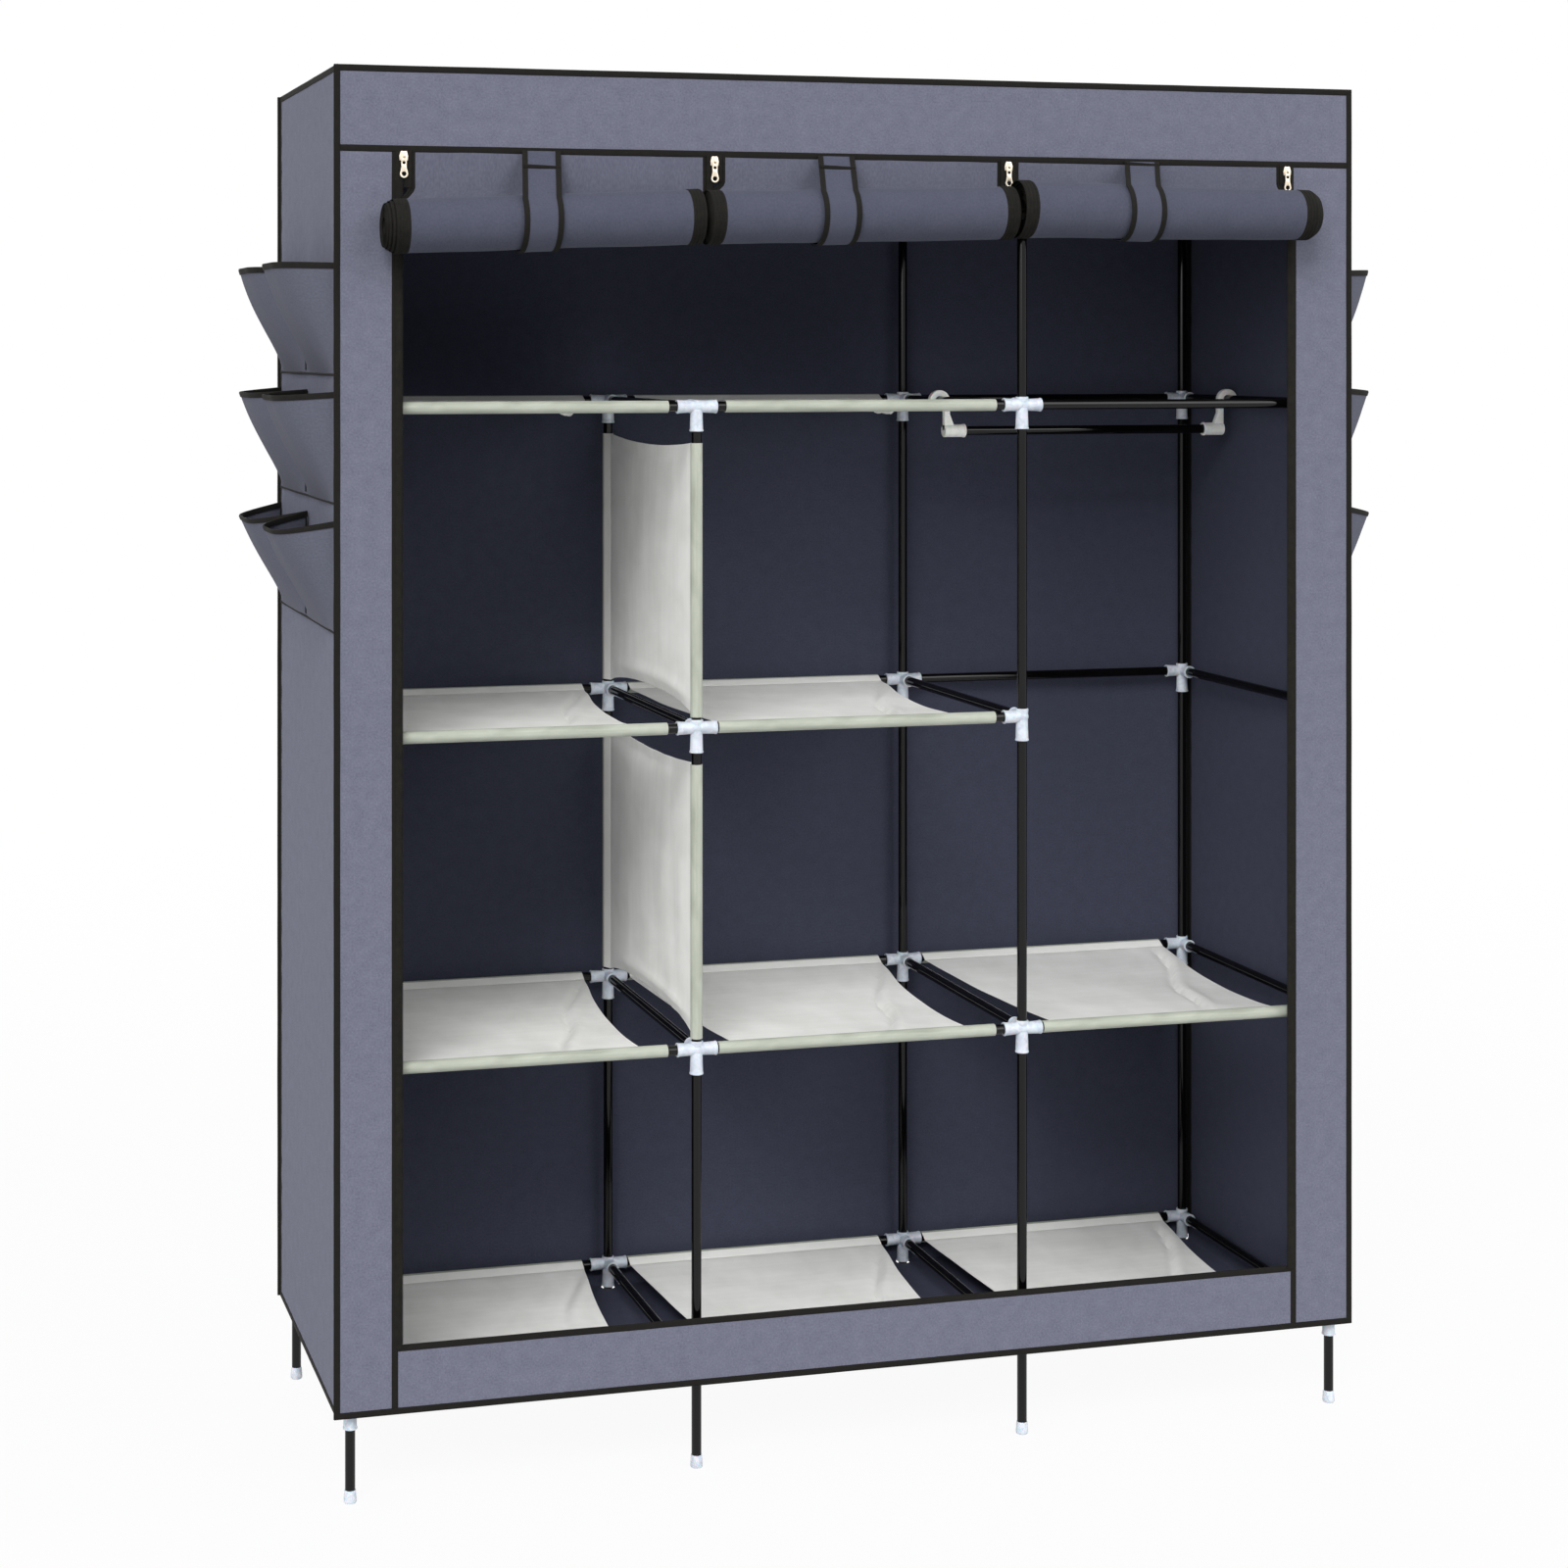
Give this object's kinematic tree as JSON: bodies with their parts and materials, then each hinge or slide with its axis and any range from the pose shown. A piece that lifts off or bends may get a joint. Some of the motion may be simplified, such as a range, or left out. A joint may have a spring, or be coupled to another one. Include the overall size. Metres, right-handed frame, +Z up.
{
  "type": "portable fabric wardrobe",
  "caption": "Free-standing cloth-covered wardrobe on a tube frame, with cloth shelves, a hanging rod, rolled-up zip curtains and side pockets.",
  "frame": {"origin": "on the floor, under the middle of the outline", "axes": "+X to the right seen from the front, +Y from the front to the back, +Z up"},
  "size_m": [1.43, 0.5206, 1.67],
  "materials": {
    "cover_cloth": "matte",
    "curtain_cloth": "matte",
    "pocket_cloth": "matte",
    "inner_cloth": "matte",
    "shelf_cloth": "matte",
    "black_tape": "matte",
    "black_steel": "satin",
    "white_plastic": "satin",
    "zip_metal": "satin"
  },
  "bodies": {
    "root": {"tier_frame_1": "black_steel", "tier_frame_2": "black_steel", "tier_frame_3": "black_steel", "tier_frame_4": "black_steel", "tier_frame_5": "black_steel", "post_front_1": "black_steel", "post_front_2": "black_steel", "post_front_3": "black_steel", "post_front_4": "black_steel", "post_rear_1": "black_steel", "post_rear_2": "black_steel", "post_rear_3": "black_steel", "post_rear_4": "black_steel", "shelf_1_left": "shelf_cloth", "shelf_1_middle": "shelf_cloth", "shelf_1_right": "shelf_cloth", "shelf_2_left": "shelf_cloth", "shelf_2_middle": "shelf_cloth", "shelf_2_right": "shelf_cloth", "shelf_3_left": "shelf_cloth", "shelf_3_middle": "shelf_cloth", "shelf_4_left": "shelf_cloth", "shelf_4_middle": "shelf_cloth", "divider_lower": "shelf_cloth", "divider_upper": "shelf_cloth", "cover_top": "cover_cloth", "cover_left_side": "cover_cloth", "cover_right_side": "cover_cloth", "cover_header": "cover_cloth", "cover_left_stile": "cover_cloth", "cover_right_stile": "cover_cloth", "cover_skirt": "cover_cloth", "cover_back": "inner_cloth", "curtain_left": "curtain_cloth", "tie_strap_left": "black_tape", "curtain_middle": "curtain_cloth", "tie_strap_middle": "black_tape", "curtain_right": "curtain_cloth", "tie_strap_right": "black_tape", "zip_tape_1": "black_tape", "zip_tape_2": "black_tape", "zip_tape_3": "black_tape", "zip_tape_4": "black_tape", "pocket_row_left_1": "pocket_cloth", "pocket_row_left_2": "pocket_cloth", "pocket_row_left_3": "pocket_cloth", "pocket_row_right_1": "pocket_cloth", "pocket_row_right_2": "pocket_cloth", "pocket_row_right_3": "pocket_cloth"},
    "slider_1": {"zip_slider_1": "zip_metal"},
    "pull_1": {"zip_pull_1": "zip_metal"},
    "slider_2": {"zip_slider_2": "zip_metal"},
    "pull_2": {"zip_pull_2": "zip_metal"},
    "slider_3": {"zip_slider_3": "zip_metal"},
    "pull_3": {"zip_pull_3": "zip_metal"},
    "slider_4": {"zip_slider_4": "zip_metal"},
    "pull_4": {"zip_pull_4": "zip_metal"},
    "hanging_rail": {"hanging_rod": "black_steel", "rod_hook_left": "white_plastic", "rod_hook_right": "white_plastic"}
  },
  "joints": [
    {"name": "slider_1_travel", "type": "slide", "parent": "root", "child": "slider_1", "axis": [0, 0, -1], "range_m": [0, 0.02]},
    {"name": "pull_1_swing", "type": "hinge", "parent": "slider_1", "child": "pull_1", "pos_m": [-0.572, -0.19338, 1.5687], "axis": [-1, 0, 0], "range_deg": [0, 170]},
    {"name": "slider_2_travel", "type": "slide", "parent": "root", "child": "slider_2", "axis": [0, 0, -1], "range_m": [0, 0.012]},
    {"name": "pull_2_swing", "type": "hinge", "parent": "slider_2", "child": "pull_2", "pos_m": [-0.194, -0.19338, 1.5687], "axis": [-1, 0, 0], "range_deg": [0, 170]},
    {"name": "slider_3_travel", "type": "slide", "parent": "root", "child": "slider_3", "axis": [0, 0, -1], "range_m": [0, 0.004]},
    {"name": "pull_3_swing", "type": "hinge", "parent": "slider_3", "child": "pull_3", "pos_m": [0.184, -0.19338, 1.5687], "axis": [-1, 0, 0], "range_deg": [0, 170]},
    {"name": "slider_4_travel", "type": "slide", "parent": "root", "child": "slider_4", "axis": [0, 0, -1], "range_m": [0, 0.004]},
    {"name": "pull_4_swing", "type": "hinge", "parent": "slider_4", "child": "pull_4", "pos_m": [0.562, -0.19338, 1.5687], "axis": [-1, 0, 0], "range_deg": [0, 170]},
    {"name": "rail_slide", "type": "slide", "parent": "root", "child": "hanging_rail", "axis": [0, 1, 0], "range_m": [-0.248, 0.105]}
  ]
}
